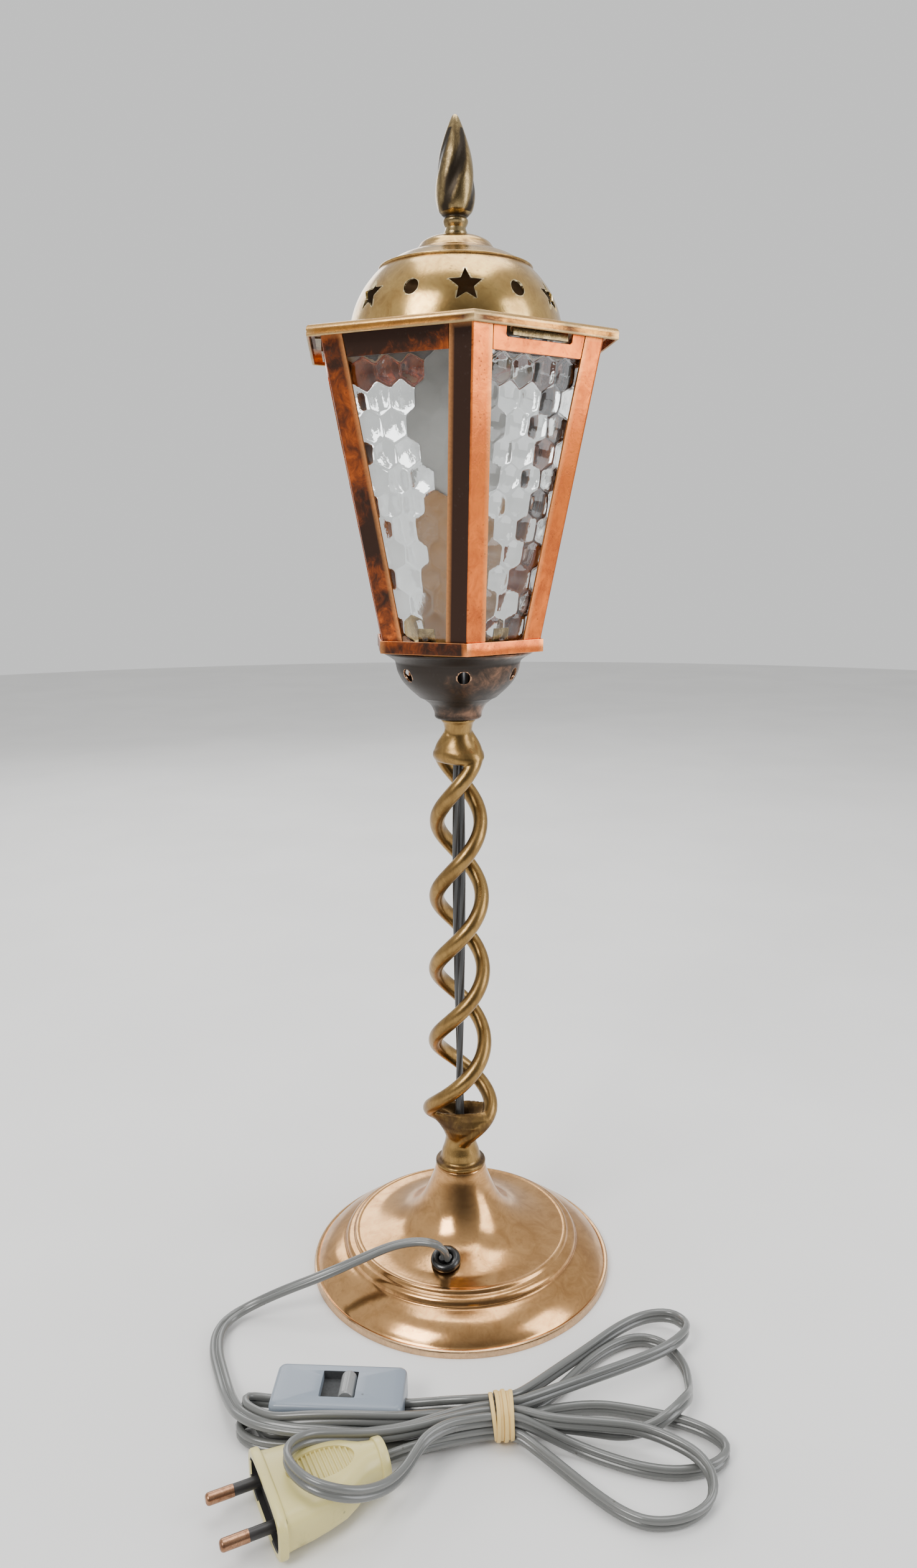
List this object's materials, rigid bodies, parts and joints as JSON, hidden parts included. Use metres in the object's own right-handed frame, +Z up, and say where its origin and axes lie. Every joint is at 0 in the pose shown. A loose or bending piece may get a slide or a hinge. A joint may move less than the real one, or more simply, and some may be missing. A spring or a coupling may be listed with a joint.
{
  "type": "table lamp",
  "caption": "Table lamp with a hexagonal glazed street-lantern head, pierced dome roof, open double-twist stem, round foot, and flex with inline switch and plug.",
  "frame": {"origin": "centre of the foot's underside, on the surface that the lamp stands on", "axes": "+Z up along the stem, -Y towards the lantern's front corner, +X to the right seen from the front"},
  "size_m": [0.1915, 0.217, 0.4625],
  "materials": {
    "foot_brass": "polished, warm rosy brass",
    "stem_brass": "satin cast brass, aged",
    "cup_copper": "dark patina over copper",
    "frame_copper": "aged copper sheet with brown spots",
    "roof_brass": "aged brass sheet",
    "dome_brass": "dull mottled brass",
    "finial_brass": "dark antique brass",
    "plain_steel": "zinc plated",
    "cast_iron": "rough",
    "fibre_board": "hard fibre board",
    "felt": "green felt",
    "black_rubber": "glossy rubber",
    "pane_glass": "pressed cathedral glass",
    "holder_phenolic": "brown phenolic",
    "holder_ceramic": "glazed ceramic",
    "contact_brass": "bright",
    "bulb_cap_metal": "satin",
    "bulb_frosted": "frosted",
    "grey_flex": "satin PVC",
    "band_rubber": "natural rubber",
    "switch_plastic": "silver-grey moulding",
    "plug_cream": "aged cream moulding",
    "plug_black": "black",
    "pin_brass": "tarnished"
  },
  "bodies": {
    "lamp": {"foot_shell": "foot_brass", "foot_weight": "cast_iron", "foot_base_plate": "fibre_board", "foot_felt": "felt", "cord_grommet": "black_rubber", "stem_twist": "stem_brass", "lower_nipple": "plain_steel", "lower_washer": "plain_steel", "lower_nut": "plain_steel", "upper_nipple": "plain_steel", "upper_washer": "plain_steel", "upper_nut": "plain_steel", "lantern_cup": "cup_copper", "frame_base": "frame_copper", "top_rails": "frame_copper", "frame_top_ring": "frame_copper", "pane_clips": "frame_copper", "holder_base": "holder_phenolic", "holder_sleeve": "holder_phenolic", "holder_core": "holder_ceramic", "holder_screw_shell": "contact_brass", "holder_contacts": "contact_brass", "inner_flex": "grey_flex", "flex_lead": "grey_flex", "flex_hank": "grey_flex", "flex_front_loop": "grey_flex", "flex_plug_lead": "grey_flex", "rubber_band": "band_rubber", "switch_base": "switch_plastic", "switch_cover": "switch_plastic", "switch_contacts": "contact_brass", "switch_screw": "plain_steel", "plug_body": "plug_cream", "plug_face": "plug_black", "plug_pins": "pin_brass", "plug_sleeves": "plug_black", "corner_post_1": "frame_copper", "glass_pane_1": "pane_glass", "corner_post_2": "frame_copper", "glass_pane_2": "pane_glass", "corner_post_3": "frame_copper", "glass_pane_3": "pane_glass", "corner_post_4": "frame_copper", "glass_pane_4": "pane_glass", "corner_post_5": "frame_copper", "glass_pane_5": "pane_glass", "corner_post_6": "frame_copper", "glass_pane_6": "pane_glass"},
    "roof": {"roof_pan": "roof_brass", "roof_tabs": "roof_brass", "roof_dome": "dome_brass", "dome_rivets": "dome_brass", "finial": "finial_brass", "finial_stud": "plain_steel", "finial_washer": "plain_steel", "finial_nut": "plain_steel"},
    "bulb": {"bulb_cap": "bulb_cap_metal", "bulb_glass": "bulb_frosted"},
    "slider": {"switch_slider": "switch_plastic"}
  },
  "joints": [
    {"name": "roof_lift", "type": "slide", "parent": "lamp", "child": "roof", "axis": [0, 0, 1], "range_m": [0, 0.12]},
    {"name": "bulb_turn", "type": "hinge", "parent": "lamp", "child": "bulb", "pos_m": [0, 0, 0.32], "axis": [0, 0, 1], "range_deg": [0, 1080]},
    {"name": "switch_slide", "type": "slide", "parent": "lamp", "child": "slider", "axis": [-0.989, 0.1478, 0], "range_m": [0, 0.006]}
  ]
}
